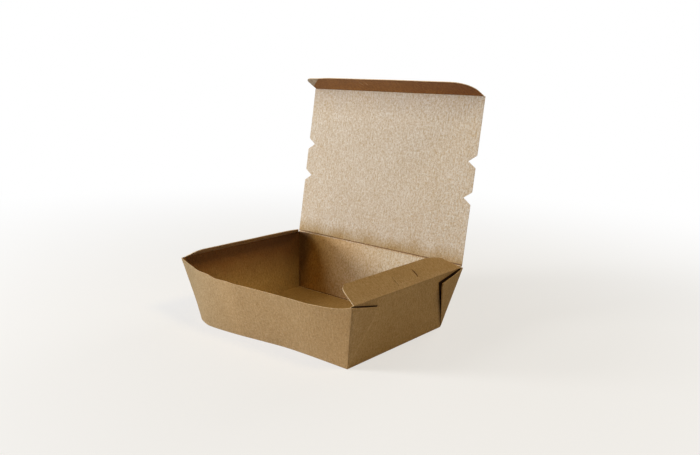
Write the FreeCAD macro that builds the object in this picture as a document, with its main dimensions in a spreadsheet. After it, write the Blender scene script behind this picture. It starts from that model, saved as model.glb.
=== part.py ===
import FreeCAD, Part
import math
import os
import Sketcher

# A shallow takeaway box folded from one sheet of brown kraft board. The tray has a flat base and four
# walls that lean outwards. At each corner the board between two walls is folded double and glued flat
# against the outside of the side wall. The lid folds on the rear wall and ends in a tuck flap, and
# each side wall carries a flap that the closing lid presses down.
# Origin: centre of the base, on the surface the box stands on. X runs along the front, Y to the
# rear, Z up. Lengths are in millimetres and angles in degrees.

Vector = FreeCAD.Vector

doc = FreeCAD.newDocument("TakeawayBox")
sheet = doc.addObject("Spreadsheet::Sheet", "Sizes")

# Each row is a name, its value and what it measures.
SIZES = [
    ("board", 0.5, "thickness of the sheet"),
    ("base_width", 159.0, "base, along the front"),
    ("base_depth", 115.0, "base, front to rear"),
    ("rim_width", 180.0, "between the side folds"),
    ("rim_depth", 136.0, "between the front corners and the lid fold"),
    ("rim_height", 50.0, "height of the side folds and front corner tips"),
    ("lid_fold_rise", 0.8, "lid fold above the side folds, so the lid lies on the side flaps"),
    ("fold_gap", 0.45, "from a fold's axis to the edge of the panel on each side"),
    ("front_dip", 5.4, "front wall's top edge below its corner tips"),
    ("dip_left_run", 13.0, "length of the slope from the left tip down to the edge"),
    ("dip_right_run", 19.0, "length of the slope from the right tip down to the edge"),
    ("dip_ease", 1.3, "height left at the foot of each slope"),
    ("dip_ease_run", 12.0, "length over which that height runs out"),
    ("bulge_left_at", -57.0, "first station along the bulging front wall"),
    ("bulge_middle_at", -20.0, "second station"),
    ("bulge_right_at", 32.0, "third station"),
    ("bulge_left_top", 6.4, "bulge at the rim, first station"),
    ("bulge_middle_top", 9.0, "bulge at the rim, second station"),
    ("bulge_right_top", 5.2, "bulge at the rim, third station"),
    ("bulge_left_foot", 10.4, "bulge at the foot, first station"),
    ("bulge_middle_foot", 7.0, "bulge at the foot, second station"),
    ("bulge_right_foot", 0.6, "bulge at the foot, third station"),
    ("web_reach", 29.7, "corner web along the side wall, measured at its top"),
    ("web_drop", 6.7, "outer end of the web's top edge below the rim"),
    ("web_nose", 3.2, "height of the web's blunt outer end"),
    ("web_foot", 1.2, "web's lowest point above the underside"),
    ("lid_length", 134.2, "lid, from its fold to the tuck flap's fold"),
    ("lid_open", 99.0, "lid as shown, from closed"),
    ("notch_near", 54.0, "rear notch from the lid fold"),
    ("notch_far", 83.0, "front notch from the lid fold"),
    ("notch_depth", 7.3, "notch, in from the lid's side edge"),
    ("notch_mouth", 10.0, "notch, along the lid's side edge"),
    ("tuck_depth", 22.0, "tuck flap, from its fold to its edge"),
    ("tuck_inset", 1.0, "tuck flap's end in from the lid's side, at the fold"),
    ("tuck_taper", 4.7, "further narrowing of each end at the tuck flap's edge"),
    ("tuck_corner", 14.0, "radius of the tuck flap's corners"),
    ("tuck_bend", 64.7, "tuck flap as shown, bent from the lid's plane"),
    ("tuck_slit_left_at", -26.0, "left slit across the tuck flap"),
    ("tuck_slit_right_at", -20.0, "right slit across the tuck flap"),
    ("tuck_slit_start", 9.4, "slits' near end from the fold"),
    ("tuck_slit_length", 8.0, "slits' length"),
    ("slit_width", 0.5, "width of the cut slits"),
    ("flap_width", 17.75, "side flap, from its fold to its free edge"),
    ("flap_front_end", 3.2, "side flap's front end behind the front corner, at the fold"),
    ("flap_relief_at", 3.4, "distance from the fold where the front end steps clear of the tuck flap"),
    ("flap_relief", 0.5, "setback of the front end there"),
    ("flap_front_lean", 1.2, "further setback of the front end at the free edge"),
    ("flap_front_corner", 4.5, "radius of the front corner"),
    ("flap_rear_gap", 1.2, "side flap's rear end in front of the lid fold, at the fold"),
    ("flap_chamfer_run", 12.4, "length of the slanted rear end along the fold"),
    ("flap_chamfer_rise", 13.6, "distance of its outer end from the fold"),
    ("flap_rear_run", 11.0, "length of the rounded rear corner"),
    ("flap_rear_corner", 10.0, "radius of the rear corner"),
    ("right_flap_up", 36.5, "right flap as shown, above level"),
    ("left_flap_up", 27.0, "left flap as shown, above level"),
    ("lock_slit_start", 4.4, "lock slits' near end from the side fold"),
    ("lock_slit_length", 7.4, "length of the lock slits"),
]

values = {}
for row, (name, value, meaning) in enumerate(SIZES, start=1):
    sheet.set("A%d" % row, meaning)
    sheet.set("B%d" % row, str(value))
    sheet.setAlias("B%d" % row, name)
    values[name] = value
doc.recompute()


class Size:
    """A length or angle as a number, with the expression that ties a feature to the sheet."""

    def __init__(self, value, text):
        self.value = float(value)
        self.text = text

    def join(self, other, sign, value):
        text = other.text if isinstance(other, Size) else str(other)
        return Size(value, "(%s %s %s)" % (self.text, sign, text))

    def __add__(self, other):
        return self.join(other, "+", self.value + number(other))

    def __sub__(self, other):
        return self.join(other, "-", self.value - number(other))

    def __mul__(self, other):
        return self.join(other, "*", self.value * number(other))

    def __truediv__(self, other):
        return self.join(other, "/", self.value / number(other))

    def __neg__(self):
        return Size(-self.value, "(0 - %s)" % self.text)


def number(item):
    return item.value if isinstance(item, Size) else float(item)


def size(name):
    return Size(sheet.get(name), "Sizes." + name)


def cosine(angle):
    return Size(math.cos(math.radians(angle.value)), "cos(%s * 1deg)" % angle.text)


def sine(angle):
    return Size(math.sin(math.radians(angle.value)), "sin(%s * 1deg)" % angle.text)


def bind(item, prop, amount):
    item.setExpression(prop, amount.text)


ZERO = Size(0.0, "0")


def pin_point(sketch, edge, x, y):
    """Fixes the start of an edge at x, y, each measured from the sketch's origin."""
    for kind, axis, amount in (("DistanceX", -2, x), ("DistanceY", -1, y)):
        if amount.text == "0":
            sketch.addConstraint(Sketcher.Constraint("PointOnObject", edge, 1, axis))
        elif amount.value > 0:
            index = sketch.addConstraint(Sketcher.Constraint(kind, -1, 1, edge, 1, amount.value))
            sketch.setExpression("Constraints[%d]" % index, amount.text)
        else:
            index = sketch.addConstraint(Sketcher.Constraint(kind, edge, 1, -1, 1, -amount.value))
            sketch.setExpression("Constraints[%d]" % index, (-amount).text)


def loop(sketch, points):
    """Draws a closed outline of straight edges through the given points."""
    first = sketch.GeometryCount
    count = len(points)
    for i, (x, y) in enumerate(points):
        nx, ny = points[(i + 1) % count]
        start = Vector(x.value, y.value, 0)
        end = Vector(nx.value, ny.value, 0)
        sketch.addGeometry(Part.LineSegment(start, end), False)
    for i in range(count):
        sketch.addConstraint(Sketcher.Constraint("Coincident", first + i, 2, first + (i + 1) % count, 1))
    for i, (x, y) in enumerate(points):
        pin_point(sketch, first + i, x, y)


def bar(x0, x1, y0, y1):
    return [(x0, y0), (x1, y0), (x1, y1), (x0, y1)]


def panel(label, outline, cuts):
    """A flat piece of board whose middle plane is the body's XY plane."""
    body = doc.addObject("PartDesign::Body", label)
    body.Label = label
    plane = [f for f in body.Origin.OriginFeatures if f.Role == "XY_Plane"][0]
    sketch = body.newObject("Sketcher::SketchObject", label + "_outline")
    sketch.AttachmentSupport = [(plane, "")]
    sketch.MapMode = "FlatFace"
    loop(sketch, outline)
    for cut in cuts:
        loop(sketch, cut)
    pad = body.newObject("PartDesign::Pad", label + "_board")
    pad.Profile = sketch
    pad.Midplane = True
    bind(pad, "Length", size("board"))
    sketch.Visibility = False
    doc.recompute()
    return body, pad


def round_corners(body, base, name, corners, radius):
    """Rounds the upright edges of a panel that stand at the given outline points."""
    edges = []
    for i, edge in enumerate(base.Shape.Edges, start=1):
        ends = [v.Point for v in edge.Vertexes]
        if len(ends) != 2 or abs(ends[0].z - ends[1].z) < 1e-6:
            continue
        for x, y in corners:
            if math.hypot(ends[0].x - x.value, ends[0].y - y.value) < 1e-4:
                edges.append("Edge%d" % i)
    if len(edges) != len(corners):
        raise RuntimeError("%s: found %d of %d corners" % (name, len(edges), len(corners)))
    fillet = body.newObject("PartDesign::Fillet", name)
    fillet.Base = (base, edges)
    bind(fillet, "Radius", radius)
    doc.recompute()
    return fillet


board = size("board")
gap = size("fold_gap")
half_rim = size("rim_width") / 2
rear_fold = size("rim_depth") / 2
fold_height = size("rim_height") + size("lid_fold_rise")
slit = size("slit_width") / 2

# Lid panel. Its sketch has the lid fold along X and Y pointing away from the fold. Two small notches
# are cut into each side edge.
length = size("lid_length")
half_mouth = size("notch_mouth") / 2
lid_right = [(half_rim, gap)]
for at in (size("notch_near"), size("notch_far")):
    lid_right.append((half_rim, at - half_mouth))
    lid_right.append((half_rim - size("notch_depth"), at))
    lid_right.append((half_rim, at + half_mouth))
lid_right.append((half_rim, length - gap))
lid_outline = lid_right + [(-x, y) for x, y in reversed(lid_right)]
lid, lid_pad = panel("lid_panel", lid_outline, [])
lid_tilt = Size(180.0, "180") - size("lid_open")
lid.Placement = FreeCAD.Placement(Vector(0, 0, 0), FreeCAD.Rotation(Vector(1, 0, 0), lid_tilt.value))
bind(lid, "Placement.Rotation.Angle", lid_tilt)
bind(lid, "Placement.Base.y", rear_fold)
bind(lid, "Placement.Base.z", fold_height)

# Tuck flap, drawn the same way from its own fold. Its ends are a little inside the lid's sides, so
# it drops between the side walls, and its corners are round.
depth = size("tuck_depth")
tuck_root = half_rim - size("tuck_inset")
tuck_end = tuck_root - size("tuck_taper")
tuck_outline = [(tuck_root, gap), (tuck_end, depth), (-tuck_end, depth), (-tuck_root, gap)]
slit_from = size("tuck_slit_start")
slit_to = slit_from + size("tuck_slit_length")
tuck_cuts = []
for at in (size("tuck_slit_left_at"), size("tuck_slit_right_at")):
    tuck_cuts.append(bar(at - slit, at + slit, slit_from, slit_to))
tuck, tuck_pad = panel("tuck_flap", tuck_outline, tuck_cuts)
tuck_corners = [(tuck_end, depth), (-tuck_end, depth)]
round_corners(tuck, tuck_pad, "tuck_rounding", tuck_corners, size("tuck_corner"))
tuck_tilt = lid_tilt + size("tuck_bend")
tuck.Placement = FreeCAD.Placement(Vector(0, 0, 0), FreeCAD.Rotation(Vector(1, 0, 0), tuck_tilt.value))
bind(tuck, "Placement.Rotation.Angle", tuck_tilt)
bind(tuck, "Placement.Base.y", rear_fold + length * cosine(lid_tilt))
bind(tuck, "Placement.Base.z", fold_height + length * sine(lid_tilt))


def side_flap(label, inward, raised):
    """A flap on a side wall. Its fold lies along Y and it reaches inwards along X."""

    def at(distance, y):
        return (distance if inward > 0 else -distance, y)

    width = size("flap_width")
    front = size("flap_front_end") - rear_fold
    relief = front + size("flap_relief")
    relief_at = size("flap_relief_at")
    front_edge = relief + size("flap_front_lean")
    rear = rear_fold - size("flap_rear_gap")
    bevel = rear - size("flap_chamfer_run")
    bevel_at = size("flap_chamfer_rise")
    shoulder = bevel - size("flap_rear_run")
    outline = [at(gap, front), at(relief_at, relief), at(width, front_edge)]
    outline += [at(width, shoulder), at(bevel_at, bevel), at(gap, rear)]
    slit_in = size("lock_slit_start")
    slit_out = slit_in + size("lock_slit_length")
    cuts = []
    for notch in (size("notch_near"), size("notch_far")):
        along = rear_fold - notch
        ends = sorted([at(slit_in, along)[0], at(slit_out, along)[0]], key=lambda e: e.value)
        cuts.append(bar(ends[0], ends[1], along - slit, along + slit))
    body, pad = panel(label, outline, cuts)
    front_done = round_corners(body, pad, label + "_front_corner", [outline[2]], size("flap_front_corner"))
    round_corners(body, front_done, label + "_rear_corner", [outline[3]], size("flap_rear_corner"))
    turn = FreeCAD.Rotation(Vector(0, -inward, 0), raised.value)
    body.Placement = FreeCAD.Placement(Vector(0, 0, 0), turn)
    bind(body, "Placement.Rotation.Angle", raised)
    bind(body, "Placement.Base.x", -half_rim if inward > 0 else half_rim)
    bind(body, "Placement.Base.z", size("rim_height"))
    return body


right_flap = side_flap("right_side_flap", -1, size("right_flap_up"))
left_flap = side_flap("left_side_flap", 1, size("left_flap_up"))


# Tray. Its front wall bulges by a different amount at the rim and at the foot, so each wall surface is
# ruled between two outlines: three straight sides and a smooth curve along the front.
def get(name):
    return float(sheet.get(name))


rim_height = get("rim_height")
slope_x = (get("rim_width") - get("base_width")) / 2 / rim_height
slope_y = (get("rim_depth") - get("base_depth")) / 2 / rim_height
thick = get("board")


def tray_outline(z, inset_x, inset_y):
    """Outline of the walls at one height, moved inwards by the insets."""
    hx = get("base_width") / 2 + slope_x * z - inset_x
    hy = get("base_depth") / 2 + slope_y * z - inset_y
    share = z / rim_height
    front = [Vector(hx, -hy, z)]
    for station in ("right", "middle", "left"):
        foot = get("bulge_%s_foot" % station)
        top = get("bulge_%s_top" % station)
        bulge = foot + (top - foot) * share
        front.append(Vector(get("bulge_%s_at" % station), -hy - bulge, z))
    front.append(Vector(-hx, -hy, z))
    curve = Part.BSplineCurve()
    curve.interpolate(front)
    rear_left = Vector(-hx, hy, z)
    rear_right = Vector(hx, hy, z)
    edges = [curve.toShape()]
    for start, end in ((front[-1], rear_left), (rear_left, rear_right), (rear_right, front[0])):
        edges.append(Part.LineSegment(start, end).toShape())
    return Part.Wire(edges)


def tray_block(low, high, inset_x, inset_y):
    outlines = [tray_outline(low, inset_x, inset_y), tray_outline(high, inset_x, inset_y)]
    return Part.makeLoft(outlines, True, True)


wall_x = thick * math.sqrt(1 + slope_x ** 2)
wall_y = thick * math.sqrt(1 + slope_y ** 2)
fold = get("fold_gap")
rear_top = fold_height.value - fold
side_top = rim_height - fold
tray_shape = tray_block(0, rear_top, 0, 0).cut(tray_block(thick, rear_top + thick, wall_x, wall_y))

# The side walls stop just under their flaps' folds.
half_w = get("rim_width") / 2
half_d = get("rim_depth") / 2
trim = half_w + thick
side_run = 2 * (half_d - 1.5 * wall_y)
for x in (half_w - 4 * wall_x, -trim):
    strip = Part.makeBox(trim - half_w + 4 * wall_x, side_run, rear_top, Vector(x, -side_run / 2, side_top))
    tray_shape = tray_shape.cut(strip)

# The front wall's top edge drops away from both corner tips.
edge_z = rim_height - get("front_dip")
ease_z = edge_z + get("dip_ease")
left_run = get("dip_left_run")
right_run = get("dip_right_run")
ease_run = get("dip_ease_run")
above = rim_height + get("front_dip")
profile = [
    (-half_w, rim_height), (left_run - half_w, ease_z), (left_run + ease_run - half_w, edge_z),
    (half_w - right_run - ease_run, edge_z), (half_w - right_run, ease_z), (half_w, rim_height),
    (half_w + thick, rim_height), (half_w + thick, above), (-half_w - thick, above),
    (-half_w - thick, rim_height),
]
front_from = half_d + 2 * get("bulge_middle_top") + get("bulge_left_top") + get("bulge_right_top")
front_to = half_d - slope_y * get("front_dip") - 1.5 * wall_y
ring = [Vector(x, -front_from, z) for x, z in profile]
dip = Part.Face(Part.makePolygon(ring + ring[:1])).extrude(Vector(0, front_from - front_to, 0))
tray_shape = tray_shape.cut(dip)


# Corner webs: each lies against the outside of a side wall as two thicknesses of board. Its top edge
# slopes down from the corner tip and its free edge runs back to the foot of the corner.
def corner_web(side, end):
    def on_wall(from_end, z):
        x = get("base_width") / 2 + slope_x * z
        return Vector(side * x, end * from_end, z)

    foot = get("web_foot")
    top_z = rim_height - get("web_drop")
    reach = half_d - get("web_reach")
    tip = rim_height - fold
    points = [
        on_wall(get("base_depth") / 2 + slope_y * foot, foot),
        on_wall(get("base_depth") / 2 + slope_y * tip, tip),
        on_wall(reach, top_z),
        on_wall(reach + slope_y * get("web_nose"), top_z - get("web_nose")),
    ]
    face = Part.Face(Part.makePolygon(points + points[:1]))
    lean = math.atan(slope_x)
    outward = Vector(side * math.cos(lean), 0, -math.sin(lean))
    return face.extrude(outward * 2 * thick)


for side in (1, -1):
    for end in (1, -1):
        tray_shape = tray_shape.fuse(corner_web(side, end))
tray_shape = tray_shape.removeSplitter()
if tray_shape.ShapeType != "Solid":
    tray_shape = tray_shape.Solids[0]

tray = doc.addObject("Part::Feature", "tray")
tray.Label = "tray"
tray.Shape = tray_shape
tray.Placement = FreeCAD.Placement()
doc.recompute()

parts = [tray, lid, tuck, left_flap, right_flap]
for item in doc.Objects:
    if "Invalid" in item.State or "Error" in item.State:
        raise RuntimeError("%s did not build: %s" % (item.Label, item.State))
for item in parts:
    if item.Shape.isNull() or not item.Shape.isValid() or len(item.Shape.Solids) != 1:
        raise RuntimeError("%s has a bad shape" % item.Label)

os.makedirs("parts", exist_ok=True)
for item in parts:
    item.Shape.exportStep("parts/%s.step" % item.Label)
    box = item.Shape.BoundBox
    print("%s: x %.2f..%.2f y %.2f..%.2f z %.2f..%.2f volume %.0f" % (
        item.Label, box.XMin, box.XMax, box.YMin, box.YMax, box.ZMin, box.ZMax, item.Shape.Volume))
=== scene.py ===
# %% [markdown]
# # A takeaway box of kraft board
# The box is one sheet of brown board, cut, creased and folded. This lesson dresses the measured model of
# it: every region of the sheet is drawn flat or as a few corners, sliced into a fine mesh, bent a little
# as real board bends, and given its thickness at the end. The measured model is loaded first, because
# every piece has to sit where its solid sits.

# %% Load the measured model
import math

import bmesh
import bpy
from mathutils import Matrix, Vector, noise


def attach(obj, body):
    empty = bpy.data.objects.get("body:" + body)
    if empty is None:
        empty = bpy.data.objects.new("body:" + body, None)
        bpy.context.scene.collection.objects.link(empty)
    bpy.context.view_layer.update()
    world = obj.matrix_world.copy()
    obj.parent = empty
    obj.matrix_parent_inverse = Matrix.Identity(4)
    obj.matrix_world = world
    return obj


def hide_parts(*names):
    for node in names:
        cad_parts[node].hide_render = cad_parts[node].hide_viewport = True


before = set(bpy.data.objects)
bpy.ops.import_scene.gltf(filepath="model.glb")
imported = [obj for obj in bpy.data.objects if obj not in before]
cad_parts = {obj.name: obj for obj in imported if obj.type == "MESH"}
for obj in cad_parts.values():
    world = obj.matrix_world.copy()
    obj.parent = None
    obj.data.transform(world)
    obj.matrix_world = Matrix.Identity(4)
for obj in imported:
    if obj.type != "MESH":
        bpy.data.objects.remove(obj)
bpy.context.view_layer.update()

# %% [markdown]
# ## The sheet's sizes
# All sizes are in millimetres and are turned to metres when a mesh is finished. X runs along the front,
# Y to the rear and Z up, from the centre of the base. The walls lean outwards by the same amount on all
# four sides. Positions are those of the middle of the board, so half its thickness lies on each side.
# Angles are in degrees: the lid's and the flaps' are measured from level, the tuck flap's from the lid.
# FOLD_ROOM is how far the lid and the rear wall stay off the axis between them, so that the board's
# thickness has room to turn.

# %% Sizes of the sheet
BOARD = 0.5
HALF_BASE = Vector((79.25, 57.25, 0.25))
RIM_Z = 50.0
LEAN = 0.21  # outwards, for each millimetre up
SIDE_FOLD = 90.0
LID_FOLD = Vector((0.0, 68.0, 50.8))
LID_LENGTH = 134.2
LID_OPEN = 99.0
FOLD_ROOM = 0.35
TUCK_BEND = 64.7
TUCK_DEPTH = 22.0
FLAP_WIDTH = 17.75
FLAP_UP = {"right": 36.5, "left": 27.0}


# %% [markdown]
# ## Colours
# A colour picked from a photograph is in sRGB, while a shader works in linear light. One function turns
# the usual hex notation into what a shader socket wants.

# %% Hex to linear colour
def linear(hex_colour):
    channels = [int(hex_colour[i:i + 2], 16) / 255 for i in (1, 3, 5)]
    return tuple(c / 12.92 if c <= 0.04045 else ((c + 0.055) / 1.055) ** 2.4 for c in channels) + (1.0,)


# %% [markdown]
# ## Adding a node
# A material is a small network. One function makes a node of any kind, sets its properties and its
# sockets, and joins it to the nodes before it: a tuple of node and socket name is a link, and anything
# else is a plain value.

# %% One helper for nodes
def add(tree, kind, settings=None, **sockets):
    node = tree.nodes.new(kind)
    for key, value in (settings or {}).items():
        setattr(node, key, value)
    for key, value in sockets.items():
        name = key.replace("_", " ")
        socket = node.inputs[int(name[5:])] if name.startswith("input") else node.inputs[name]
        if isinstance(value, tuple) and isinstance(value[0], bpy.types.Node):
            tree.links.new(value[0].outputs[value[1]], socket)
        else:
            socket.default_value = value
    return node


# %% [markdown]
# ## Kraft board
# Unbleached kraft board is pressed from long softwood fibres. It has no coating, so it is matt, and what
# the eye sees is the fibre: soft streaks along the way the sheet ran through the machine, a fine mottle,
# and a few dark flecks. The pattern is drawn on a UV map that holds the flat sheet's own
# millimetres, so it follows the board over its folds. Real fibres are about 0.03 mm thick, far too fine to
# show, so the streaks are drawn as the clumps that fibres form, about 1 mm across and several long.
#
# Patches of painted shade darken the board where the box's own walls and flaps shade it. A patch is
# given by an axis of the flat sheet, the place where it is full, the place where it is gone, and the tone
# that it multiplies the board by. The same noise that clouds the board makes the patch's edge wander.

# %% A material for each face of the board
CLUMP_WIDTH = 1.5
CLUMP_LENGTH = 5.5
MOTTLE_SIZE = 1.4
GRAIN_SIZE = 0.6
CLOUD_SIZE = 16.0
FLECK_SPACING = 2.6
FLECK_HEART, FLECK_EDGE = 0.05, 0.11  # shares of the spacing
MOTTLE_SHARE, GRAIN_SHARE, CLOUD_SHARE, FLECK_SHARE = 0.62, 0.3, 0.08, 0.5
MOTTLE_STRETCH, GRAIN_STRETCH, CLOUD_STRETCH, FLECK_SQUEEZE = 1.3, 1.5, 1.6, 0.55  # along the clumps
TONE_SPREAD = 0.13  # how far from the middle of the noise the darkest and palest tones lie
SHADE_WANDER = 9.0


def kraft_board(name, dark, middle, pale, fleck, contrast=1.0, roughness=0.62, gloss=0.5, relief=0.6,
                painted_shades=()):
    material = bpy.data.materials.new(name)
    material.use_nodes = True
    tree = material.node_tree
    tree.nodes.clear()
    flat = add(tree, "ShaderNodeUVMap", {"uv_map": "flat_sheet"})

    def pattern(width, length, detail, rough):
        scale = (1 / width, 1 / length, 1.0)
        placed = add(tree, "ShaderNodeMapping", Vector=(flat, "UV"), Scale=scale)
        settings = {"noise_dimensions": "2D"}
        return add(tree, "ShaderNodeTexNoise", settings, Vector=(placed, "Vector"), Scale=1.0,
                   Detail=detail, Roughness=rough)

    def share(factor, first, second, output="Fac"):
        return add(tree, "ShaderNodeMix", {"data_type": "FLOAT"}, Factor=factor,
                   input_2=(first, output), input_3=(second, "Fac"))

    clumps = pattern(CLUMP_WIDTH, CLUMP_LENGTH, 2.0, 0.5)
    mottle = pattern(MOTTLE_SIZE, MOTTLE_SIZE * MOTTLE_STRETCH, 2.0, 0.6)
    grain = pattern(GRAIN_SIZE, GRAIN_SIZE * GRAIN_STRETCH, 1.0, 0.5)
    clouds = pattern(CLOUD_SIZE, CLOUD_SIZE * CLOUD_STRETCH, 2.0, 0.5)
    surface = share(MOTTLE_SHARE, clumps, mottle)
    fine = share(GRAIN_SHARE, surface, grain, "Result")
    mixed = share(CLOUD_SHARE, fine, clouds, "Result")
    ramp = add(tree, "ShaderNodeValToRGB", Fac=(mixed, "Result"))
    spread = TONE_SPREAD / contrast
    stops = ramp.color_ramp.elements
    stops[0].position, stops[0].color = 0.5 - spread, linear(dark)
    stops[1].position, stops[1].color = 0.5 + spread, linear(pale)
    centre = stops.new(0.5)
    centre.color = linear(middle)
    spots = add(tree, "ShaderNodeMapping", Vector=(flat, "UV"),
                Scale=(1 / FLECK_SPACING, FLECK_SQUEEZE / FLECK_SPACING, 1.0))
    cells = add(tree, "ShaderNodeTexVoronoi", {"voronoi_dimensions": "2D"}, Vector=(spots, "Vector"),
                Scale=1.0, Randomness=1.0)
    rare = add(tree, "ShaderNodeMapRange", Value=(cells, "Distance"), From_Min=FLECK_HEART,
               From_Max=FLECK_EDGE, To_Min=FLECK_SHARE, To_Max=0.0)
    coloured = add(tree, "ShaderNodeMix", {"data_type": "RGBA"}, Factor=(rare, "Result"),
                   input_6=(ramp, "Color"), input_7=linear(fleck))
    apart = add(tree, "ShaderNodeSeparateXYZ", Vector=(flat, "UV")) if painted_shades else None
    # Each patch of painted shade multiplies the board by its tone.
    for axis, full, gone, tone in painted_shades:
        uneven = add(tree, "ShaderNodeMath", {"operation": "MULTIPLY_ADD"}, input_0=(clouds, "Fac"),
                     input_1=SHADE_WANDER, input_2=(apart, axis))
        shade_share = add(tree, "ShaderNodeMapRange", Value=(uneven, "Value"),
                      From_Min=full + SHADE_WANDER / 2, From_Max=gone + SHADE_WANDER / 2,
                      To_Min=1.0, To_Max=0.0)
        coloured = add(tree, "ShaderNodeMix", {"data_type": "RGBA", "blend_type": "MULTIPLY"},
                       Factor=(shade_share, "Result"), input_6=(coloured, "Result"), input_7=linear(tone))
    bump = add(tree, "ShaderNodeBump", Height=(fine, "Result"), Strength=0.8, Distance=relief / 1000)
    shader = add(tree, "ShaderNodeBsdfPrincipled", Base_Color=(coloured, "Result"), Roughness=roughness,
                 Specular_IOR_Level=gloss, Normal=(bump, "Normal"))
    add(tree, "ShaderNodeOutputMaterial", Surface=(shader, "BSDF"))
    return material


# %% [markdown]
# ## The faces of this box
# All of these are the same sheet. Its outside is a mid brown; its inside is paler and rougher, because
# it was the felt side. The inside of the tray and the tuck flap take darker, browner copies of the inside
# board, which are painted shade, and patches of painted shade darken other faces where the box shades
# itself. A cut edge is pale torn fibre. A score is board crushed by the creasing rule: its dark line is
# partly crushed board and partly painted shade, and its pale line, where a fold has stretched and
# cracked the board, is partly painted highlight. The dark strip under each web is painted shade in the
# gap between web and wall.

# %% One material for each face, edge and line
outer_face = kraft_board("kraft_board_outer_face", "#b08e5f", "#c09f72", "#cfb187", "#7f613d", contrast=0.9)
# Painted shade: the front wall's outside is darker towards both of its ends.
front_face_with_painted_shade = kraft_board("kraft_board_front_face", "#b08e5f", "#c09f72", "#cfb187", "#7f613d", contrast=0.9,
                         painted_shades=[("X", -78.0, -22.0, "#dfe6ed"), ("X", 88.0, 40.0, "#f3ede2")])
# Painted shade: the lid's inside is browner near its fold and darker towards its top edge; the darker tone
# also covers the inside of the side flaps and of the tuck flap's turned corner, whose flat maps lie beyond
# the lid's top.
inner_face_with_painted_shade = kraft_board("kraft_board_inner_face", "#c5ab86", "#d7c6b0", "#e8dfd2", "#8a6c48",
                         contrast=1.15, relief=1.2,
                         painted_shades=[("Y", 300.0, 314.0, "#d6bf8a"), ("Y", 436.0, 412.0, "#e2e0e0")])
# Painted shade: the rear wall's inside is browner towards its left and dark in its left corner.
rear_inside_with_painted_shade = kraft_board("kraft_board_rear_inside", "#c4a87b", "#d8c5a8", "#e8dcc8", "#7d6040",
                          contrast=1.15, relief=1.0,
                          painted_shades=[("X", -60.0, 18.0, "#edc881"), ("X", -80.0, -66.0, "#a9a9cb")])
# Painted shade: the left wall's inside is a copy of the inside board of its own, darker towards the rear
# corner and towards the top.
left_inside_painted_shade = kraft_board("kraft_board_left_inside", "#b59459", "#caaa71", "#dcbc87", "#6f5028",
                          painted_shades=[("X", -134.0, -215.0, "#b1a488"), ("Y", 38.0, 12.0, "#b89c76")])
# Painted shade: a darker, browner copy of the inside board for the floor, the right wall and the front wall
# inside the tray.
tray_inside_painted_shade = kraft_board("kraft_board_tray_inside", "#9c7a42", "#ae8c56", "#bd9c68", "#6f5028")
# Painted shade: a darker, browner copy of the inside board for the tuck flap, which faces down, darker
# still towards its right end.
tuck_face_painted_shade = kraft_board("kraft_board_tuck_face", "#82521d", "#976229", "#aa7538", "#5c3914", contrast=1.2,
                        painted_shades=[("X", 490.0, 400.0, "#e1cc9c")])
cut_edge = kraft_board("kraft_board_cut_edge", "#cfb08a", "#e2c79f", "#f0dcba", "#8c6d45", gloss=0.3)
# Partly painted shade: the dark line of a score, of the inside corners of the tray and of one lip of each
# lock slit.
score_and_painted_shade = kraft_board("kraft_board_score_line", "#62401c", "#765025", "#906636", "#4c3218")
# Partly painted highlight: the pale line of a soft crease, of the front webs' creases and of one lip of
# each lock slit.
soft_crease_and_painted_highlight = kraft_board("kraft_board_soft_crease", "#b99767", "#cbab7e", "#d8bc94", "#7f613d")
# Partly painted highlight: the pale line of a fold, along the base's edges inside the tray and on the lid's
# and the tuck flap's fold beads.
crease_and_painted_highlight = kraft_board("kraft_board_crease_line", "#b58f5e", "#dabd94", "#efdcc0", "#8c6d45",
                          contrast=1.6)
# Painted shade: the near-black strip on the side walls under the webs stands for the shade in the gap
# between web and wall.
painted_gap_shade = kraft_board("kraft_board_dried_glue", "#2c1a0b", "#382210", "#442b15", "#20120a")
print("materials:", [material.name for material in bpy.data.materials])


# %% [markdown]
# ## From corners to a fine sheet
# A folded sheet is easiest to start as a handful of corners joined by large faces. Each face carries the
# number of its region as its material index, which slicing keeps, so the regions can still be told
# apart afterwards. Bisecting the whole mesh with a row of planes then gives it the points it needs to
# bend, whatever the outline is. This keeps neighbouring regions joined, because one plane cuts both.

# %% Helpers that draw and slice a sheet
CUT_TOLERANCE = 1e-4


def add_face(mesh, corners, region=0):
    face = mesh.faces.new(corners)
    face.material_index = region
    return face


def slice_sheet(mesh, point, normal):
    everything = mesh.verts[:] + mesh.edges[:] + mesh.faces[:]
    bmesh.ops.bisect_plane(mesh, geom=everything, dist=CUT_TOLERANCE, plane_co=point, plane_no=normal)


def slice_evenly(mesh, axis, low, high, step):
    count = max(1, round((high - low) / step))
    for i in range(1, count):
        place = Vector((0, 0, 0))
        place[axis] = low + (high - low) * i / count
        normal = Vector((0, 0, 0))
        normal[axis] = 1
        slice_sheet(mesh, place, normal)


def write_flat_map(mesh, flat_position):
    """Stores the flat sheet's millimetres as UVs: flat_position takes a region and a point."""
    layer = mesh.loops.layers.uv.new("flat_sheet")
    for face in mesh.faces:
        for loop in face.loops:
            loop[layer].uv = flat_position(face.material_index, loop.vert.co)


# %% [markdown]
# ## Finishing a piece
# The board gets its thickness from a Solidify modifier centred on the sheet. The modifier also gives
# the back and the cut rim materials of their own, which is how the pale raw edge appears. The mesh is
# scaled to metres, its sharp folds are marked by angle so that gentle bends shade smoothly, the piece is
# hung on the body it rides on, and the solid it stands for is hidden.

# %% Turn a sheet into a finished piece
PLAIN = (outer_face, inner_face_with_painted_shade, cut_edge)
SHARP_FOLD = 32.0  # degrees


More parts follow.
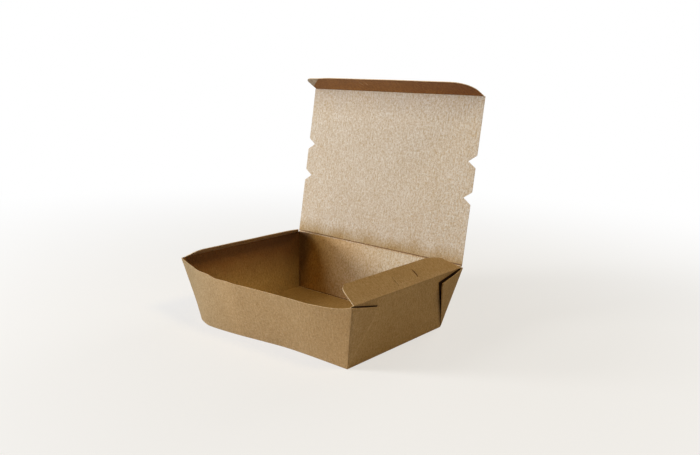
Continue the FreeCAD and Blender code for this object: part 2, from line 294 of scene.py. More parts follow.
def finish_piece(mesh, name, body, replaced, finishes=(PLAIN,), finish_of=None):
    """Each finish is the materials of the outside, the inside and the cut rim; finish_of says which
    finish a region takes, and without it a region's own number does."""
    for face in mesh.faces:
        region = face.material_index
        face.material_index = 3 * (finish_of[region] if finish_of else region)
        face.smooth = True
    bmesh.ops.scale(mesh, vec=(0.001, 0.001, 0.001), verts=mesh.verts)
    data = bpy.data.meshes.new(name)
    mesh.to_mesh(data)
    mesh.free()
    for finish in finishes:
        for material in finish:
            data.materials.append(material)
    piece = bpy.data.objects.new(name, data)
    bpy.context.scene.collection.objects.link(piece)
    thick = piece.modifiers.new("board", "SOLIDIFY")
    thick.thickness = BOARD / 1000
    thick.offset = 0.0
    thick.material_offset = 1
    thick.material_offset_rim = 2
    bpy.context.view_layer.objects.active = piece
    bpy.ops.object.select_all(action="DESELECT")
    piece.select_set(True)
    bpy.ops.object.modifier_apply(modifier=thick.name)
    piece.data.set_sharp_from_angle(angle=math.radians(SHARP_FOLD))
    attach(piece, body)
    if replaced:
        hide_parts(replaced)
    print(name, "faces:", len(piece.data.polygons))


def face_outwards(mesh, sample, direction):
    """Makes every face of a joined sheet agree, with the face nearest the sample facing direction."""
    bmesh.ops.recalc_face_normals(mesh, faces=mesh.faces)
    mesh.normal_update()
    nearest = min(mesh.faces, key=lambda f: (f.calc_center_median() - Vector(sample)).length)
    if nearest.normal.dot(Vector(direction)) < 0:
        bmesh.ops.reverse_faces(mesh, faces=mesh.faces)
    mesh.normal_update()


# %% [markdown]
# ## Easing between stations
# The front wall bulges unevenly. Its shape is given as a few stations from the left corner at -1 to the
# right corner at 1, and a smooth curve through them says how far the wall stands out anywhere between.

# %% A smooth curve through stations
def through(stations, place):
    place = min(max(place, stations[0][0]), stations[-1][0])
    for i in range(len(stations) - 1):
        (a, va), (b, vb) = stations[i], stations[i + 1]
        if place <= b:
            before = stations[max(i - 1, 0)]
            after = stations[min(i + 2, len(stations) - 1)]
            start_slope = (vb - before[1]) / (b - before[0])
            end_slope = (after[1] - va) / (after[0] - a)
            t = (place - a) / (b - a)
            run = b - a
            return ((2 * t ** 3 - 3 * t ** 2 + 1) * va + (t ** 3 - 2 * t ** 2 + t) * run * start_slope
                    + (3 * t ** 2 - 2 * t ** 3) * vb + (t ** 3 - t ** 2) * run * end_slope)
    return stations[-1][1]


# %% [markdown]
# ## The tray
# The base, the four walls and the four corner webs are one sheet. On the real box each corner of the
# sheet is a gusset: it runs on from the front or rear wall, is folded double along a slanted crease, and
# is glued to the outside of the side wall. So the front and rear walls here carry the webs, and the side
# walls only meet them at the corner. The corners of the walls are typed in, and the rest is sliced. The
# last few numbers keep the two layers of a web and the side wall's end from running into each other.

# %% Corners and faces of the tray
BASE, FRONT, REAR, RIGHT, LEFT, WEB, BEAD, GROOVE, WEB_CREASE, UNDER_WEB_SHADE, UNDER_WEB_SHADE_LEFT = range(11)
CORNER_TIP_Z = 49.7
WEB_LAYER = 0.55
WEB_TOP_REACH = 29.7
WEB_DROP = 6.7
WEB_NOSE = 3.2
WEB_FOOT_Z = 1.4
NOSE_STEP = 0.7
SIDE_WALL_SHORT = 0.45
INNER_FOOT_IN, INNER_FOOT_OUT = 0.3, 0.1
INNER_TIP_IN, INNER_TIP_Z = 0.8, 49.2


def wall_x(z, out=0.0):
    return HALF_BASE.x + LEAN * (z - HALF_BASE.z) + out


def wall_y(z):
    return HALF_BASE.y + LEAN * (z - HALF_BASE.z)


tray = bmesh.new()
floor_z = HALF_BASE.z
corner = {}
for sx in (-1, 1):
    for sy in (-1, 1):
        top_z = CORNER_TIP_Z if sy < 0 else LID_FOLD.z - FOLD_ROOM
        spread = 2 * WEB_LAYER * (top_z - floor_z) / RIM_Z
        spread_low = 2 * WEB_LAYER * (WEB_FOOT_Z - floor_z) / RIM_Z
        low_x = wall_x(WEB_FOOT_Z, spread_low)
        corner[sx, sy] = {
            "foot": tray.verts.new((sx * HALF_BASE.x, sy * HALF_BASE.y, floor_z)),
            "low": tray.verts.new((sx * low_x, sy * wall_y(WEB_FOOT_Z), WEB_FOOT_Z)),
            "tip": tray.verts.new((sx * wall_x(top_z, spread), sy * wall_y(top_z), top_z)),
            "side": tray.verts.new((sx * wall_x(RIM_Z), sy * (wall_y(RIM_Z) - SIDE_WALL_SHORT), RIM_Z)),
        }
add_face(tray, [corner[k]["foot"] for k in ((-1, -1), (1, -1), (1, 1), (-1, 1))], BASE)
for sy, region in ((-1, FRONT), (1, REAR)):
    left, right = corner[-1, sy], corner[1, sy]
    outline = [left["foot"], left["low"], left["tip"], right["tip"], right["low"], right["foot"]]
    add_face(tray, outline, region)
for sx, region in ((1, RIGHT), (-1, LEFT)):
    near, far = corner[sx, -1], corner[sx, 1]
    add_face(tray, [near["foot"], far["foot"], far["side"], near["side"]], region)
for (sx, sy), points in corner.items():
    top_z = RIM_Z - WEB_DROP
    nose_z = top_z - WEB_NOSE
    reach = LID_FOLD.y - WEB_TOP_REACH

    def web_point(y, z, out):
        return tray.verts.new((sx * wall_x(z, out), sy * y, z))

    outer_end = web_point(reach, top_z, 2 * WEB_LAYER)
    outer_nose = web_point(reach + NOSE_STEP, nose_z, 2 * WEB_LAYER)
    add_face(tray, [points["low"], points["tip"], outer_end, outer_nose], WEB)
    inner_nose = web_point(reach + NOSE_STEP, nose_z, WEB_LAYER)
    inner_low = web_point(wall_y(WEB_FOOT_Z) - INNER_FOOT_IN, WEB_FOOT_Z, INNER_FOOT_OUT)
    add_face(tray, [points["low"], outer_nose, inner_nose, inner_low], WEB)
    inner_end = web_point(reach, top_z, WEB_LAYER)
    inner_tip = web_point(wall_y(INNER_TIP_Z) - INNER_TIP_IN, INNER_TIP_Z, WEB_LAYER)
    add_face(tray, [inner_low, inner_nose, inner_end, inner_tip], WEB)
face_outwards(tray, (0, 0, 0), (0, 0, -1))
print("tray starts as", len(tray.faces), "faces")

# %% [markdown]
# Slices go through everything at once. A pair of slanted planes on each axis runs just inside the
# corners, and one level plane runs just above the base, so that each fold has a close row of points on
# both sides. Smoothing the points on the fold then rounds it by a fraction of a millimetre. Three more
# planes run along each web's slanted crease and its top edge. They mark off a strip along the crease,
# which on the front webs is drawn pale, crushed board with a painted highlight, and the strip of the
# side wall under the web, where the shade in the gap between web and wall is painted dark.

# %% Slice the tray
FOLD_STRIP = 0.8
CREASE_WIDTH = 1.8
SHADE_FROM_CREASE = 0.3
SHADE_ABOVE_WEB = 0.6
for axis, inside in ((0, HALF_BASE.x), (1, HALF_BASE.y)):
    for sign in (-1, 1):
        place, normal = Vector((0, 0, floor_z)), Vector((0, 0, -LEAN))
        place[axis] = sign * (inside - FOLD_STRIP)
        normal[axis] = sign
        slice_sheet(tray, place, normal)
slice_sheet(tray, (0, 0, floor_z + FOLD_STRIP), (0, 0, 1))
crease_foot = Vector((0, wall_y(WEB_FOOT_Z), WEB_FOOT_Z))
crease_head = Vector((0, LID_FOLD.y - WEB_TOP_REACH + NOSE_STEP, RIM_Z - WEB_DROP - WEB_NOSE))
crease_run = (crease_head - crease_foot).normalized()
crease_inwards = Vector((0, crease_run.z, -crease_run.y))
shade_top = Vector((0, wall_y(RIM_Z), RIM_Z + SHADE_ABOVE_WEB))
web_top_normal = Vector((0, -WEB_DROP, WEB_TOP_REACH))
for sign in (-1, 1):
    mirrored = Vector((1, sign, 1))
    for inwards in (CREASE_WIDTH, SHADE_FROM_CREASE):
        place = crease_foot + crease_inwards * inwards
        slice_sheet(tray, place * mirrored, crease_inwards * mirrored)
    slice_sheet(tray, shade_top * mirrored, web_top_normal * mirrored)
slice_evenly(tray, 0, -96, 96, 3.2)
slice_evenly(tray, 1, -72, 72, 5.0)
slice_evenly(tray, 2, 1.1, 50.6, 3.6)

# %% [markdown]
# The flat map is written while every region still has its own number. The maps of the regions are set
# apart, so that no two walls show the same piece of the pattern. Then the narrow strips get regions of
# their own, which take other materials, and the folds are rounded.

# %% Map the tray, mark its strips and round its folds
folded = [v for v in tray.verts if len({f.material_index for f in v.link_faces}) > 1]
write_flat_map(tray, lambda region, p: {
    BASE: (p.x, p.y), FRONT: (p.x, p.z), REAR: (p.x, p.z + 60), RIGHT: (p.y + 200, p.z),
    LEFT: (p.y - 200, p.z), WEB: (p.y + 200 * (1 if p.x > 0 else -1), p.z + 120)}[region])
# The strips: the base's edge along the walls takes a pale line, partly crushed board and partly painted
# highlight; the left wall's ends and the rear wall's foot take a dark line, partly score and partly painted
# shade in the inside corners; the front webs' creases take a pale strip, partly painted highlight; and the
# side walls under the webs take the painted shade of the gap.
for face in tray.faces:
    place = face.calc_center_median()
    region = face.material_index
    folded_side = Vector((0, abs(place.y), place.z))
    from_crease = (folded_side - crease_foot).dot(crease_inwards)
    shade_end = shade_top.z - WEB_DROP * (shade_top.y - folded_side.y) / WEB_TOP_REACH
    on_foot = place.x > HALF_BASE.x - FOLD_STRIP or abs(place.y) > HALF_BASE.y - FOLD_STRIP
    if region == BASE and on_foot:
        face.material_index = BEAD
    elif region == LEFT and abs(place.y) > wall_y(place.z) - FOLD_STRIP:
        face.material_index = GROOVE
    elif region == REAR and place.z < floor_z + FOLD_STRIP:
        face.material_index = GROOVE
    elif region == WEB and place.y < 0 and from_crease < CREASE_WIDTH:
        face.material_index = WEB_CREASE
    elif region in (RIGHT, LEFT) and from_crease > SHADE_FROM_CREASE and place.z < shade_end:
        face.material_index = UNDER_WEB_SHADE if place.x > 0 else UNDER_WEB_SHADE_LEFT
bmesh.ops.smooth_vert(tray, verts=folded, factor=0.5, use_axis_x=True, use_axis_y=True, use_axis_z=True)
print("tray sliced into", len(tray.faces), "faces")

# %% [markdown]
# Now the tray takes its worn-in shape. The front wall has relaxed outwards, most of all left of its
# middle, its foot has crept forward too, and its top edge has sunk below the two corner tips. The
# stations are shares of the half width. The webs spring away from the side walls a little, and the
# two on the right, whose glue has let go at the free edge, stand off by a few millimetres. A web leaves
# the wall quickly near its corner and then runs nearly level with it, which a power below one gives.

# %% Bend the tray
EDGE_HEIGHT = [(-1.0, 49.7), (-0.95, 48.0), (-0.88, 46.2), (-0.8, 45.4), (-0.7, 44.9), (-0.56, 45.1),
               (-0.45, 44.0), (-0.28, 44.9), (-0.2, 44.5), (0.02, 44.6), (0.2, 44.8), (0.38, 44.7),
               (0.55, 44.5), (0.66, 44.9), (0.79, 45.6), (0.9, 47.0), (1.0, 49.7)]
BULGE_TOP = [(-1.0, 0.0), (-0.87, 1.2), (-0.72, 4.8), (-0.55, 7.0), (-0.27, 9.0), (-0.05, 7.4),
             (0.18, 6.3), (0.45, 4.6), (0.64, 3.7), (0.82, 1.9), (1.0, 0.0)]
BULGE_FOOT = [(-1.0, 0.0), (-0.93, 4.5), (-0.83, 8.0), (-0.72, 10.4), (-0.5, 9.6), (-0.25, 7.2),
              (0.0, 3.9), (0.25, 1.1), (0.5, 0.2), (0.75, 0.0), (1.0, 0.0)]
WEB_SPRING = {(1, 1): 3.3, (1, -1): 2.2, (-1, 1): 1.0, (-1, -1): 1.0}
SPRING_POWER = 0.42
SPRING_AT_FOOT = 0.5
BASE_FLAT_TO = 33.0  # in front of this the base follows the front wall's foot

in_front, in_base, in_web = set(), set(), set()
for face in tray.faces:
    group = {FRONT: in_front, BASE: in_base, BEAD: in_base, WEB: in_web,
             WEB_CREASE: in_web}.get(face.material_index)
    if group is not None:
        group.update(face.verts)
for vert in in_web - in_front:
    p = vert.co
    side = (1 if p.x > 0 else -1, 1 if p.y > 0 else -1)
    away = max(0.0, (wall_y(p.z) - abs(p.y)) / WEB_TOP_REACH)
    above_foot = max(0.0, p.z - WEB_FOOT_Z) / RIM_Z
    height_share = SPRING_AT_FOOT + (1 - SPRING_AT_FOOT) * above_foot
    p.x += side[0] * WEB_SPRING[side] * away ** SPRING_POWER * height_share
for vert in in_front:
    p = vert.co
    share = (p.z - floor_z) / (CORNER_TIP_Z - floor_z)
    place = p.x / wall_x(p.z, 2 * WEB_LAYER * share)
    plane_offset = p.y + wall_y(p.z)
    p.z = floor_z + share * (through(EDGE_HEIGHT, place) - floor_z)
    bulge = through(BULGE_FOOT, place) * (1 - share) + through(BULGE_TOP, place) * share
    p.y = plane_offset - wall_y(p.z) - bulge
for vert in in_base - in_front:
    p = vert.co
    near_front = min(max((-p.y - BASE_FLAT_TO) / (HALF_BASE.y - BASE_FLAT_TO), 0), 1)
    p.y -= through(BULGE_FOOT, p.x / HALF_BASE.x) * near_front
# The webs' cut rims take the outside board instead of the pale cut edge: painted shade under the flaps'
# folds.
tray_finishes = [
    (outer_face, rear_inside_with_painted_shade, cut_edge), (outer_face, tray_inside_painted_shade, cut_edge),
    (outer_face, outer_face, outer_face), (outer_face, crease_and_painted_highlight, cut_edge),
    (outer_face, score_and_painted_shade, cut_edge), (soft_crease_and_painted_highlight, outer_face, soft_crease_and_painted_highlight),
    (painted_gap_shade, tray_inside_painted_shade, cut_edge), (outer_face, left_inside_painted_shade, cut_edge),
    (painted_gap_shade, left_inside_painted_shade, cut_edge), (front_face_with_painted_shade, tray_inside_painted_shade, cut_edge)]
finish_piece(tray, "tray_board", "tray", "tray", finishes=tray_finishes,
             finish_of={REAR: 0, BASE: 1, RIGHT: 1, WEB: 2, BEAD: 3, GROOVE: 4, WEB_CREASE: 5,
                        UNDER_WEB_SHADE: 6, LEFT: 7, UNDER_WEB_SHADE_LEFT: 8, FRONT: 9})

# %% [markdown]
# ## The lid
# The lid is a flat panel with two V notches in each side, which take the corners of the side flaps' lock
# tabs when the box is shut. It is drawn flat as its outline, with its fold on the X axis, sliced, warped
# by a few tenths of a millimetre as board always is, and then turned up about its fold. It starts a third
# of a millimetre off the fold's axis, so that it turns without cutting into the rear wall, and a rounded
# bead closes that gap later. The warp fades out towards the fold, so that the lid still lies on the walls
# when it is shut. A score is a narrow band of faces just beyond the fold.

# %% Draw, slice and raise the lid
NOTCHES = (54.0, 83.0)
NOTCH_DEPTH = 7.3
NOTCH_HALF_MOUTH = 5.0
WARP_FREE = 20.0  # distance from the fold at which the warp is full
SCORE = 1  # the region of a score
LID_SCORE = (0.6, 1.4)


def flat_sheet(points):
    mesh = bmesh.new()
    add_face(mesh, [mesh.verts.new((x, y, 0)) for x, y in points])
    face_outwards(mesh, (0, 0, 0), (0, 0, -1))
    return mesh


def warp(mesh, amount, size, seed, away=1):
    """Waves a flat sheet up and down. The axis numbered away is the one that leaves the fold."""
    for vert in mesh.verts:
        off_fold = min(1.0, abs(vert.co[away]) / WARP_FREE)
        vert.co.z += amount * off_fold * noise.noise(Vector((vert.co.x / size, vert.co.y / size, seed)))


def fold_up(mesh, degrees, hinge):
    turn = Matrix.Translation(hinge) @ Matrix.Rotation(math.radians(degrees), 4, "X")
    bmesh.ops.transform(mesh, matrix=turn, verts=mesh.verts)


def score(mesh, axis, start, end, low=-200.0, high=200.0):
    """Marks the narrow band of faces between start and end as a score, along the other axis."""
    for place in (start, end):
        normal = Vector((0, 0, 0))
        normal[axis] = 1
        slice_sheet(mesh, normal * place, normal)
    for face in mesh.faces:
        middle = face.calc_center_median()
        if start < middle[axis] < end and low < middle[1 - axis] < high:
            face.material_index = SCORE


# A score's dark face is partly crushed board and partly painted shade along the fold.
SCORED = (outer_face, score_and_painted_shade, cut_edge)
right_side = [(SIDE_FOLD, FOLD_ROOM)]
for notch in NOTCHES:
    right_side += [(SIDE_FOLD, notch - NOTCH_HALF_MOUTH), (SIDE_FOLD - NOTCH_DEPTH, notch),
                   (SIDE_FOLD, notch + NOTCH_HALF_MOUTH)]
right_side.append((SIDE_FOLD, LID_LENGTH))
lid = flat_sheet(right_side + [(-x, y) for x, y in reversed(right_side)])
slice_evenly(lid, 0, -90, 90, 6.0)
slice_evenly(lid, 1, FOLD_ROOM, LID_LENGTH, 5.6)
score(lid, 1, *LID_SCORE)
write_flat_map(lid, lambda region, p: (p.x + 400, p.y + 300))
warp(lid, amount=0.35, size=45.0, seed=3.1)
fold_up(lid, 180 - LID_OPEN, LID_FOLD)
finish_piece(lid, "lid_board", "lid", "lid_panel", (PLAIN, SCORED))

# %% [markdown]
# ## The tuck flap
# The lid ends in a narrow flap that tucks behind the front wall. It has round corners and two short
# slits near its middle, and it curls and droops a little at its left end. Its inside takes a darker,
# browner copy of the inside board, which is painted shade. Its left corner is dog-eared: it has been
# bent along a slanted crease and shows the paler inside board instead of that darker copy. That corner
# is a small piece of its own, cut off the same sheet, so that it can have a bend and a finish of its own.

# %% Draw the tuck flap and its turned corner
TUCK_ROOT = 89.0
TUCK_END = 84.6
TUCK_CORNER, TUCK_LEFT_CORNER = 14.0, 7.0
TUCK_SLITS = (-26.0, -20.0)
TUCK_CURL = 2.5
LEFT_DROOP = 3.4
DROOP_FROM, DROOP_RUN = 52, 34
SLIT_FROM, SLIT_TO = 9.4, 17.4
TUCK_SLIT_GAP = 0.55
EAR_TOP = -68.0
EAR_SIDE = 7.4
EAR_BEYOND = 1.4
TUCK_SCORE = (0.4, 1.0)
TUCK_ROWS = (2.0, 5.5, SLIT_FROM, 12.0, 14.8, SLIT_TO, 19.8)
NEAR = 0.01  # two points closer than this are the same
tuck_hinge = LID_FOLD + Vector((0, math.cos(math.radians(180 - LID_OPEN)),
                                math.sin(math.radians(180 - LID_OPEN)))) * LID_LENGTH


def round_corner(mesh, place, radius):
    near = [v for v in mesh.verts if (v.co - Vector((*place, 0))).length < NEAR]
    bmesh.ops.bevel(mesh, geom=near, affect="VERTICES", offset=radius, segments=8, profile=0.5, material=-1)


def open_slit(mesh, along, place, start, end, gap, bow=0.0):
    """Cuts a slit that runs along an axis from start to end, and pulls its two sides apart."""
    across = 1 - along
    span = end - start
    on_line = [v for v in mesh.verts
               if abs(v.co[across] - place) < NEAR and start - NEAR < v.co[along] < end + NEAR]
    chosen = set(on_line)
    edges = [e for e in mesh.edges if e.verts[0] in chosen and e.verts[1] in chosen]
    bmesh.ops.split_edges(mesh, edges=edges)
    for vert in mesh.verts:
        if abs(vert.co[across] - place) > NEAR or not start + NEAR < vert.co[along] < end - NEAR:
            continue
        middle = sum((f.calc_center_median() for f in vert.link_faces), Vector()) / len(vert.link_faces)
        side = 1 if middle[across] > place else -1
        share = math.sin(math.pi * (vert.co[along] - start) / span)
        vert.co[across] += share * (bow + side * gap / 2)


def droop(point):
    """How far the tuck flap leaves its plane: it curls towards its free edge, most at its left end."""
    out = point.y / TUCK_DEPTH
    left = min(max((-point.x - DROOP_FROM) / DROOP_RUN, 0), 1)
    return TUCK_CURL * out ** 2 + LEFT_DROOP * out * left ** 2


tuck = flat_sheet([(TUCK_ROOT, 0), (TUCK_END, TUCK_DEPTH), (-TUCK_END, TUCK_DEPTH), (-TUCK_ROOT, 0)])
round_corner(tuck, (TUCK_END, TUCK_DEPTH), TUCK_CORNER)
round_corner(tuck, (-TUCK_END, TUCK_DEPTH), TUCK_LEFT_CORNER)
slice_evenly(tuck, 0, -90, 90, 6.0)
for place in TUCK_SLITS:
    slice_sheet(tuck, (place, 0, 0), (1, 0, 0))
for place in TUCK_ROWS:
    slice_sheet(tuck, (0, place, 0), (0, 1, 0))
crease_from, crease_to = Vector((EAR_TOP, TUCK_DEPTH, 0)), Vector((-TUCK_END - EAR_BEYOND, EAR_SIDE, 0))
crease = (crease_to - crease_from).normalized()
outwards = Vector((crease.y, -crease.x, 0))
if outwards.x > 0:
    outwards = -outwards
slice_sheet(tuck, crease_from, outwards)
score(tuck, 1, *TUCK_SCORE)
write_flat_map(tuck, lambda region, p: (p.x + 400, p.y + 440))
for place in TUCK_SLITS:
    open_slit(tuck, 1, place, SLIT_FROM, SLIT_TO, TUCK_SLIT_GAP)
ear = tuck.copy()
beyond = [f for f in tuck.faces if (f.calc_center_median() - crease_from).dot(outwards) > 0]
bmesh.ops.delete(tuck, geom=beyond, context="FACES")
within = [f for f in ear.faces if (f.calc_center_median() - crease_from).dot(outwards) <= 0]
bmesh.ops.delete(ear, geom=within, context="FACES")
warp(tuck, amount=0.2, size=30.0, seed=7.7)
for vert in tuck.verts:
    vert.co.z += droop(vert.co)

# %% [markdown]
# The ear bends more the further it is from its crease, so it curls instead of hinging. Both meshes are
# then folded up with the flap's own angle, which is the lid's angle plus its bend.

# %% Curl the ear and raise the flap
EAR_TURN = 9.0
EAR_BEND_RUN = 4.0
for vert in ear.verts:
    sag = droop(vert.co)
    reach = (vert.co - crease_from).dot(outwards)
    angle = math.radians(EAR_TURN) * min(1.0, reach / EAR_BEND_RUN)
    along = (vert.co - crease_from).dot(crease)
    bent = crease_from + crease * along + outwards * reach * math.cos(angle)
    vert.co = bent + Vector((0, 0, sag - reach * math.sin(angle)))
fold_up(tuck, 180 - LID_OPEN + TUCK_BEND, tuck_hinge)
fold_up(ear, 180 - LID_OPEN + TUCK_BEND, tuck_hinge)
tuck_finishes = ((outer_face, tuck_face_painted_shade, cut_edge), SCORED)
finish_piece(tuck, "tuck_flap_board", "tuck", "tuck_flap", tuck_finishes)
finish_piece(ear, "tuck_flap_turned_corner", "tuck", None, (PLAIN, PLAIN))

# %% [markdown]
# ## The side flaps
# Each side wall ends in a flap with a slanted rear end and two curved slits, the ends of a lock tab. The
# flap is drawn once, with its fold on the Y axis and reaching inwards, and mirrored for the other side.
# Each slit has one lip drawn dark, a painted shadow, and one drawn pale, a painted highlight, and a
# faint crease joins the two slits. The face that shows is the board's outside, so the faces have to point
# upwards: mirroring turns them over, and those that then point down are turned back.

# %% Draw both side flaps
FLAP_OUTLINE = [(0.0, -64.8), (3.4, -64.3), (FLAP_WIDTH, -63.1), (FLAP_WIDTH, 43.4),
                (13.6, 54.4), (0.0, 66.8)]
LOCK_SLITS = ((13.4, 4.6, 12.2, 1.1), (-11.6, 3.2, 11.4, -0.8))
LOCK_CREASE, LOCK_CREASE_HALF = 4.0, 0.3
SLIT_LIP = 0.75
LOCK_SLIT_GAP = 0.6
FLAP_CORNERS = ((2, 6.5), (3, 9.0))  # points of the outline, and the radius of each
FOLD_ROW = 1.2
SHADOWED_LIP, HIGHLIT_LIP = 2, 3


def side_flap(side, name, body, node):
    sign = -1 if side == "right" else 1
    flap = flat_sheet(FLAP_OUTLINE)
    for point, radius in FLAP_CORNERS:
        round_corner(flap, FLAP_OUTLINE[point], radius)
    slice_evenly(flap, 1, -66, 68, 5.2)
    for place, start, end, bow in LOCK_SLITS:
        for lip in (-SLIT_LIP, 0, SLIT_LIP):
            slice_sheet(flap, (0, place + lip, 0), (0, 1, 0))
        for share in (0, 0.25, 0.5, 0.75, 1):
            slice_sheet(flap, (start + (end - start) * share, 0, 0), (1, 0, 0))
    slice_sheet(flap, (FOLD_ROW, 0, 0), (1, 0, 0))
    score(flap, 0, LOCK_CREASE - LOCK_CREASE_HALF, LOCK_CREASE + LOCK_CREASE_HALF,
          LOCK_SLITS[1][0], LOCK_SLITS[0][0])
    write_flat_map(flap, lambda region, p: (p.y + 900 * sign, p.x + 700))
    for place, start, end, bow in LOCK_SLITS:
        for face in flap.faces:
            middle = face.calc_center_median()
            if start < middle.x < end and abs(middle.y - place) < SLIT_LIP:
                face.material_index = SHADOWED_LIP if middle.y < place else HIGHLIT_LIP
        open_slit(flap, 0, place, start, end, LOCK_SLIT_GAP, bow)
    warp(flap, amount=0.2, size=28.0, seed=11.0 * sign, away=0)
    if sign < 0:
        bmesh.ops.scale(flap, vec=(-1, 1, 1), verts=flap.verts)
        bmesh.ops.reverse_faces(flap, faces=[f for f in flap.faces if f.normal.z < 0])
    up = math.radians(FLAP_UP[side])
    turn = Matrix.Translation((-sign * SIDE_FOLD, 0, RIM_Z)) @ Matrix.Rotation(-sign * up, 4, "Y")
    bmesh.ops.transform(flap, matrix=turn, verts=flap.verts)
    flap.normal_update()
    if sum(f.normal.z for f in flap.faces) < 0:
        bmesh.ops.reverse_faces(flap, faces=flap.faces)
    # The dark lip is a painted shadow; the pale lip and the crease are partly painted highlight.
    finishes = (PLAIN, (soft_crease_and_painted_highlight, inner_face_with_painted_shade, cut_edge), (score_and_painted_shade, inner_face_with_painted_shade, score_and_painted_shade),
                (soft_crease_and_painted_highlight, inner_face_with_painted_shade, cut_edge))
    finish_piece(flap, name, body, node, finishes)


side_flap("right", "right_side_flap_board", "right_flap", "right_side_flap")
side_flap("left", "left_side_flap_board", "left_flap", "left_side_flap")

# %% [markdown]
# ## The rounded folds
# Creased board doesn't fold to a knife edge. The creasing rule leaves a narrow bead of crushed fibres on
# the inside, and it keeps the fold closed at any angle. A bead is a thin rod along the fold's axis, so
# it looks the same however far the lid or a flap has turned. It is sliced and shifted a little, because
# a fold in real board wanders by a few tenths of a millimetre; its two ends stay in place. The vector
# noise is seeded first, so that the folds wander the same way each time.

# %% One bead along each moving fold
BEAD_SIDES = 10
BEAD_SLICE = 2.2
WANDER = 0.16
WANDER_RATE = 0.31  # noise cells for each millimetre of the fold
BEAD_END = 1.0
WANDER_SEED = 1


def fold_bead(name, body, start, end, radius, finish, seed):
    rod = bmesh.new()
    length = (Vector(end) - Vector(start)).length
    bmesh.ops.create_cone(rod, cap_ends=True, segments=BEAD_SIDES, radius1=radius, radius2=radius,
                          depth=length)
    slice_evenly(rod, 2, -length / 2, length / 2, BEAD_SLICE)
    for vert in rod.verts:
        if abs(vert.co.z) < length / 2 - BEAD_END:
            wander = noise.noise_vector(Vector((0, seed, vert.co.z * WANDER_RATE))) * WANDER
            vert.co += Vector((wander.x, wander.y, 0))
    layer = rod.loops.layers.uv.new("flat_sheet")
    for face in rod.faces:
        for loop in face.loops:
            around = math.atan2(loop.vert.co.y, loop.vert.co.x) * radius
            loop[layer].uv = (loop.vert.co.z, around + seed * 20)
        face.smooth = len(face.verts) < BEAD_SIDES
    turn = (Vector(end) - Vector(start)).to_track_quat("Z", "Y").to_matrix().to_4x4()
    placed = Matrix.Translation((Vector(start) + Vector(end)) / 2) @ turn
    bmesh.ops.transform(rod, matrix=Matrix.Scale(0.001, 4) @ placed, verts=rod.verts)
    data = bpy.data.meshes.new(name)
    rod.to_mesh(data)
    rod.free()
    data.materials.append(finish)
    piece = bpy.data.objects.new(name, data)
    bpy.context.scene.collection.objects.link(piece)
    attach(piece, body)
    print(name, "length", round(length, 1), "mm")


noise.seed_set(WANDER_SEED)
lid_reach, tuck_reach = Vector((89.7, 0, 0)), Vector((88.6, 0, 0))
# The lid's and the tuck flap's beads take the pale fold board, partly painted highlight.
fold_bead("lid_fold_bead", "tray", LID_FOLD - lid_reach, LID_FOLD + lid_reach,
          radius=0.4, finish=crease_and_painted_highlight, seed=1.0)
fold_bead("tuck_fold_bead", "lid", tuck_hinge - tuck_reach, tuck_hinge + tuck_reach,
          radius=0.36, finish=crease_and_painted_highlight, seed=2.0)
for side, sign in (("right", 1), ("left", -1)):
    front_end, rear_end = [(sign * SIDE_FOLD, y, RIM_Z) for y in (-64.6, 66.6)]
    fold_bead(side + "_flap_fold_bead", "tray", front_end, rear_end,
              radius=0.27, finish=outer_face, seed=3.0 + sign)

# %% [markdown]
# ## Floor and light
# The box stands on a plain pale floor. The main light is a tall window, low on the left in front, as the
# shadow inside the tray shows; it is made of two soft discs, a low one and a high one. Two dim cards on
# the right, the upper one warm, return some light to the side wall and the right flap, and a card behind
# lights the back of the lid. A very dim warm surround fills the rest. To the camera the surround is white.
# The floor is pale to the camera and greyer to other rays, so that it doesn't brighten the underside of
# the box. Away from the box it turns to plain white for the camera, and near the box it keeps the shadow.

# %% Floor, lamps and surround
FLOOR_HALF = 6.0
FLOOR_SHADE_RADIUS = 0.104
FLOOR_WHITE_RADIUS = 0.75
WHITE_NEAR_BOX = 0.6
floor_mesh = bmesh.new()
bmesh.ops.create_grid(floor_mesh, x_segments=1, y_segments=1, size=FLOOR_HALF)
floor_data = bpy.data.meshes.new("floor")
floor_mesh.to_mesh(floor_data)
floor_mesh.free()
floor = bpy.data.objects.new("floor", floor_data)
bpy.context.scene.collection.objects.link(floor)
paint = bpy.data.materials.new("white_studio_floor")
paint.use_nodes = True
tree = paint.node_tree
tree.nodes.clear()
rays = add(tree, "ShaderNodeLightPath")
tone = add(tree, "ShaderNodeMix", {"data_type": "RGBA"}, Factor=(rays, "Is Camera Ray"),
           input_6=linear("#c2c0bc"), input_7=linear("#f6f6f6"))
matt = add(tree, "ShaderNodeBsdfDiffuse", Color=(tone, "Result"))
glow = add(tree, "ShaderNodeEmission", Color=(1, 1, 1, 1), Strength=1.0)
spot = add(tree, "ShaderNodeTexCoord")
middle = add(tree, "ShaderNodeVectorMath", {"operation": "LENGTH"}, input_0=(spot, "Object"))
away = add(tree, "ShaderNodeMapRange", {"interpolation_type": "SMOOTHSTEP"}, Value=(middle, "Value"),
           From_Min=FLOOR_SHADE_RADIUS, From_Max=FLOOR_WHITE_RADIUS, To_Min=WHITE_NEAR_BOX, To_Max=1.0)
white_share = add(tree, "ShaderNodeMath", {"operation": "MULTIPLY"}, input_0=(away, "Result"),
                  input_1=(rays, "Is Camera Ray"))
mixed = add(tree, "ShaderNodeMixShader", Fac=(white_share, "Value"), input_1=(matt, "BSDF"),
            input_2=(glow, "Emission"))
add(tree, "ShaderNodeOutputMaterial", Surface=(mixed, "Shader"))
floor_data.materials.append(paint)

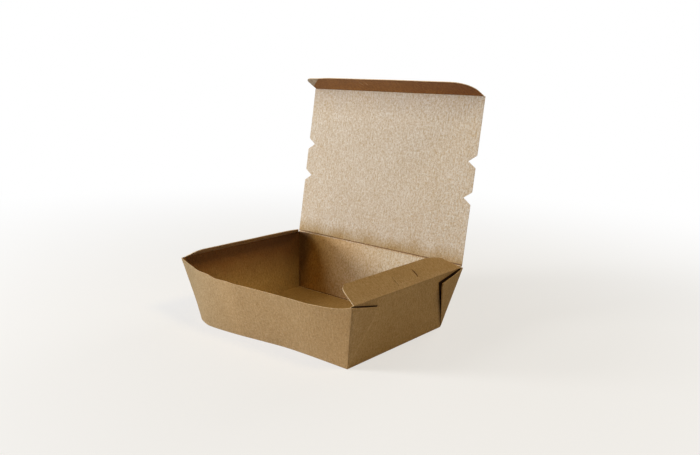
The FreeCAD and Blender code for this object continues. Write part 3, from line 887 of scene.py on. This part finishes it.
LAMP_AIM = Vector((0, 0.03, 0.07))
LAMP_DISTANCE = 1.3
FILL_STRENGTH = 0.09
LAMPS = {  # azimuth and elevation in degrees, diameter in metres, power in watts, colour
    "tall_window_low": (-43.0, 12.5, 0.34, 10.4, "#ffffff"),
    "tall_window_high": (-34.0, 31.0, 0.5, 4.9, "#ffffff"),
    "warm_card_right": (95.0, 6.0, 0.42, 0.45, "#ffffff"),
    "warm_card_above": (92.0, 54.0, 0.4, 4.6, "#ffe3a4"),
    "back_card": (182.0, 22.0, 0.6, 4.0, "#ffffff"),
}
for name, (azimuth, elevation, size, power, colour) in LAMPS.items():
    lamp_data = bpy.data.lights.new(name, "AREA")
    lamp_data.shape = "DISK"
    lamp_data.size = size
    lamp_data.energy = power
    lamp_data.color = linear(colour)[:3]
    lamp = bpy.data.objects.new(name, lamp_data)
    bpy.context.scene.collection.objects.link(lamp)
    a, e = math.radians(azimuth), math.radians(elevation)
    towards = Vector((math.sin(a) * math.cos(e), -math.cos(a) * math.cos(e), math.sin(e)))
    lamp.location = LAMP_AIM + towards * LAMP_DISTANCE
    lamp.rotation_mode = "QUATERNION"
    lamp.rotation_quaternion = (-towards).to_track_quat("-Z", "Y")

world = bpy.data.worlds.new("pale_surround")
bpy.context.scene.world = world
world.use_nodes = True
tree = world.node_tree
tree.nodes.clear()
rays = add(tree, "ShaderNodeLightPath")
fill = add(tree, "ShaderNodeBackground", Color=linear("#ffe9b8"), Strength=FILL_STRENGTH)
white = add(tree, "ShaderNodeBackground", Color=(1, 1, 1, 1), Strength=1.0)
seen = add(tree, "ShaderNodeMixShader", Fac=(rays, "Is Camera Ray"), input_1=(fill, "Background"),
           input_2=(white, "Background"))
add(tree, "ShaderNodeOutputWorld", Surface=(seen, "Shader"))

# %% [markdown]
# ## Camera
# The camera stands where the photograph was taken from: a little above the rim, off the front right
# corner, and rolled by about a degree. Its place was worked out from the corners of the box.

# %% Camera
CAMERA_AZIMUTH = 40.233
CAMERA_ELEVATION = 12.427
CAMERA_ROLL = 1.182
CAMERA_DISTANCE = 0.54911
CAMERA_TARGET = Vector((0.030582, 0.0, 0.083468))
SENSOR_WIDTH, LENS = 36.0, 36.918  # millimetres
camera_data = bpy.data.cameras.new("camera")
camera_data.sensor_width = SENSOR_WIDTH
camera_data.lens = LENS
camera = bpy.data.objects.new("camera", camera_data)
bpy.context.scene.collection.objects.link(camera)
bpy.context.scene.camera = camera
a, e, r = (math.radians(v) for v in (CAMERA_AZIMUTH, CAMERA_ELEVATION, CAMERA_ROLL))
back = Vector((math.sin(a) * math.cos(e), -math.cos(a) * math.cos(e), math.sin(e)))
level_right = Vector((math.cos(a), math.sin(a), 0))
level_up = back.cross(level_right)
right_axis = level_right * math.cos(r) + level_up * math.sin(r)
up_axis = level_up * math.cos(r) - level_right * math.sin(r)
camera.matrix_world = Matrix.Translation(CAMERA_TARGET + back * CAMERA_DISTANCE) @ Matrix(
    (right_axis, up_axis, back)).transposed().to_4x4()
bpy.context.scene.view_settings.view_transform = "Standard"
